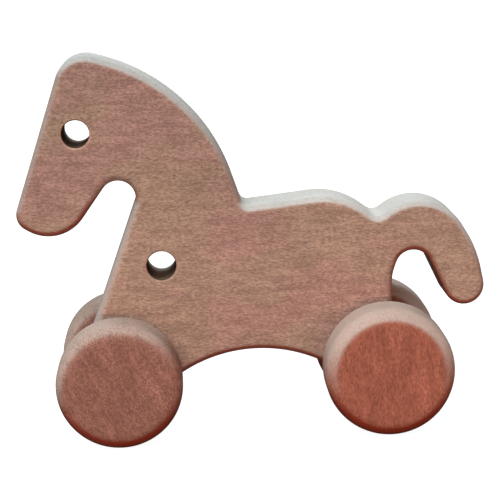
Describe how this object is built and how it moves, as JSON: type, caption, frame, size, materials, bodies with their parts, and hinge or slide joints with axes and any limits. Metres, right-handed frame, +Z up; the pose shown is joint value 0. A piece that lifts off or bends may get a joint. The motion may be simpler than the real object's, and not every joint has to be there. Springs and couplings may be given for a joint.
{
  "type": "wooden toy horse",
  "caption": "Plain wooden toy horse cut from one thick rounded board, rolling on turned wheels that spin with their dowel axles.",
  "frame": {"origin": "centre of the footprint on the floor, midway between nose and tail, in the board's middle plane", "axes": "+Z up, the horse faces -X, +Y to the horse's right side, so -Y is its left side"},
  "size_m": [0.1266, 0.052, 0.1039],
  "materials": {
    "board_beech": "bare sanded beech, pinkish brown, fine grain with short dark flecks",
    "front_wheel_beech": "turned beech, darker brown, speckled pores",
    "rear_wheel_beech": "turned beech, warm orange brown, straight grain lines",
    "dowel_beech": "pale straight-grained dowel"
  },
  "bodies": {
    "board": {"horse_body": "board_beech"},
    "front_wheels": {"front_axle": "dowel_beech", "front_left_wheel": "front_wheel_beech", "front_right_wheel": "front_wheel_beech"},
    "rear_wheels": {"rear_axle": "dowel_beech", "rear_left_wheel": "rear_wheel_beech", "rear_right_wheel": "rear_wheel_beech"}
  },
  "joints": [
    {"name": "front_axle_spin", "type": "hinge", "parent": "board", "child": "front_wheels", "pos_m": [-0.03755, 0, 0.017], "axis": [0, 1, 0], "continuous": true},
    {"name": "rear_axle_spin", "type": "hinge", "parent": "board", "child": "rear_wheels", "pos_m": [0.035, 0, 0.0175], "axis": [0, 1, 0], "continuous": true}
  ]
}
